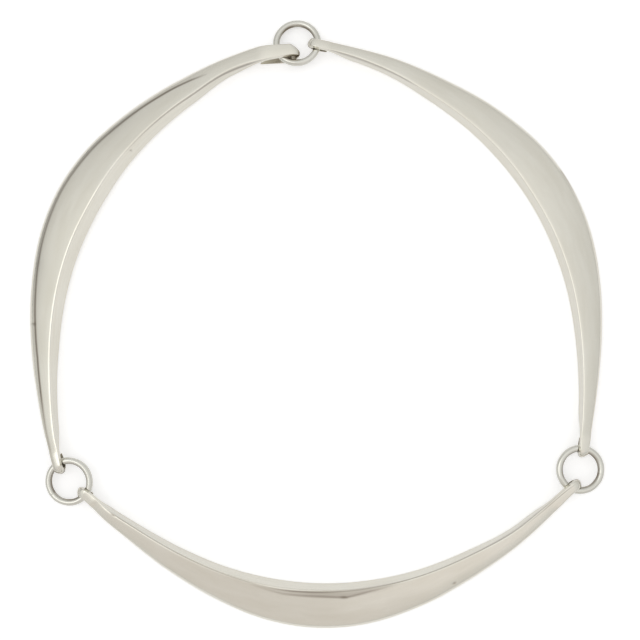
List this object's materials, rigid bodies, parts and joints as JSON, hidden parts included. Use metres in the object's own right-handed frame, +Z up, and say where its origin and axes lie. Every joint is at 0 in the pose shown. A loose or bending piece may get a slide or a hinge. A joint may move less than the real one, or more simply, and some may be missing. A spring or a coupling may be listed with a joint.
{
  "type": "neck ring",
  "caption": "Rigid silver neck ring of ridged crescent bars joined by plain round rings, with an open hook clasp, lying flat and clasped.",
  "frame": {"origin": "middle of the overall box, on the table that the neck ring lies on", "axes": "+Y towards the clasp ring, away from the front bar's middle, +X towards the right bar, +Z up from the table"},
  "size_m": [0.1399, 0.1485, 0.0056],
  "materials": {
    "forged_silver": "worn polished silver, soft satin sheen with fine scratches, light pits and faint warm tarnish",
    "wire_silver": "worn silver wire, slightly rougher than the bars, darker towards the inside of the ring"
  },
  "bodies": {
    "root": {"front_bar": "forged_silver", "right_bar": "forged_silver", "hook_bar": "forged_silver", "left_ring": "wire_silver", "right_ring": "wire_silver", "clasp_ring": "wire_silver"}
  },
  "joints": []
}
